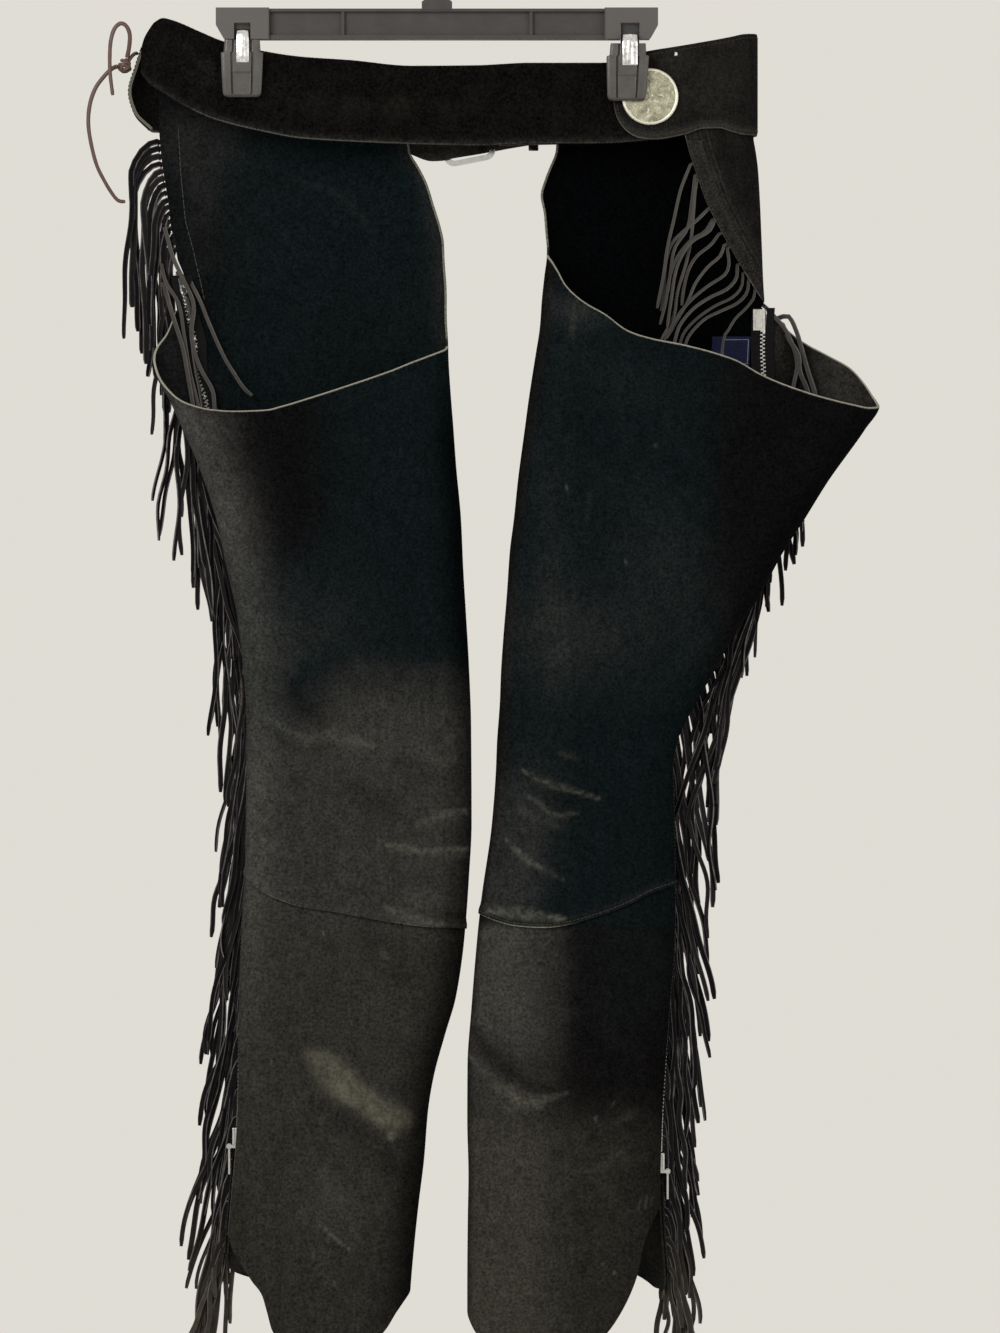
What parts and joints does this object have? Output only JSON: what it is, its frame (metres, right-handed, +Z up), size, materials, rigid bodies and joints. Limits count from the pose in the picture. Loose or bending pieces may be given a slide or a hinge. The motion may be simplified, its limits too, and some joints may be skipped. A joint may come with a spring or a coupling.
{
  "type": "fringed leather chaps on a trouser hanger",
  "caption": "Fringed black suede chaps hung on a clip hanger: hollow open-topped legs, belt with concho and buckle, full-length outer zips with swinging pull tabs.",
  "frame": {"origin": "inner crown of the hanger's hook, the point that a rail or peg carries", "axes": "+X to the right seen from the near side (the back of the chaps), +Y away through the garment to its front, +Z up"},
  "size_m": [0.6413, 0.0811, 1.1612],
  "materials": {
    "suede": "brushed black cow suede, faded grey-brown with dust towards the hems",
    "belt_suede": "black suede belt leather with a fuzzy nap and pale raw edges",
    "fringe_leather": "thin grey-brown leather, cut into strands",
    "lace_leather": "brown leather lace",
    "zip_tape": "black woven zip tape",
    "label": "plain navy woven patch with a pale border",
    "nickel": "dull nickel-plated zip metal",
    "concho_metal": "worn, tarnished nickel silver",
    "chrome": "bright chrome",
    "hanger_plastic": "moulded dark grey plastic, satin"
  },
  "bodies": {
    "chaps": {"belt_back": "belt_suede", "belt_left": "belt_suede", "belt_right": "belt_suede", "billet_strap": "belt_suede", "buckle_chape": "belt_suede", "buckle_frame": "chrome", "buckle_keeper": "belt_suede", "buckle_prong": "chrome", "chain_left": "nickel", "chain_right": "nickel", "clip_left_far": "hanger_plastic", "clip_left_near": "hanger_plastic", "clip_left_spring": "chrome", "clip_right_far": "hanger_plastic", "clip_right_near": "hanger_plastic", "clip_right_spring": "chrome", "concho": "concho_metal", "fringe_left_low": "fringe_leather", "fringe_left_mid": "fringe_leather", "fringe_left_top": "fringe_leather", "fringe_right_hip": "fringe_leather", "fringe_right_low": "fringe_leather", "fringe_right_mid": "fringe_leather", "hanger_frame": "hanger_plastic", "hanger_hook": "hanger_plastic", "label_inside": "label", "lace_knot": "lace_leather", "lace_loop": "lace_leather", "lace_tail": "lace_leather", "leg_left_lower": "suede", "leg_left_upper": "suede", "leg_right_lower": "suede", "leg_right_upper": "suede", "slider_left": "nickel", "slider_right": "nickel", "strip_left": "fringe_leather", "strip_right": "fringe_leather", "strip_right_hip": "fringe_leather", "tape_left_far": "zip_tape", "tape_left_near": "zip_tape", "tape_right_far": "zip_tape", "tape_right_near": "zip_tape", "zip_box_left": "nickel", "zip_box_right": "nickel"},
    "pull_left_tab": {"pull_left": "nickel"},
    "pull_right_tab": {"pull_right": "nickel"}
  },
  "joints": [
    {"name": "pull_left_swing", "type": "hinge", "parent": "chaps", "child": "pull_left_tab", "pos_m": [-0.168, 0.01541, -0.9796], "axis": [0, 1, 0], "range_deg": [0, 150]},
    {"name": "pull_right_swing", "type": "hinge", "parent": "chaps", "child": "pull_right_tab", "pos_m": [0.18627, 0.01571, -0.9998], "axis": [0, -1, 0], "range_deg": [0, 150]}
  ]
}
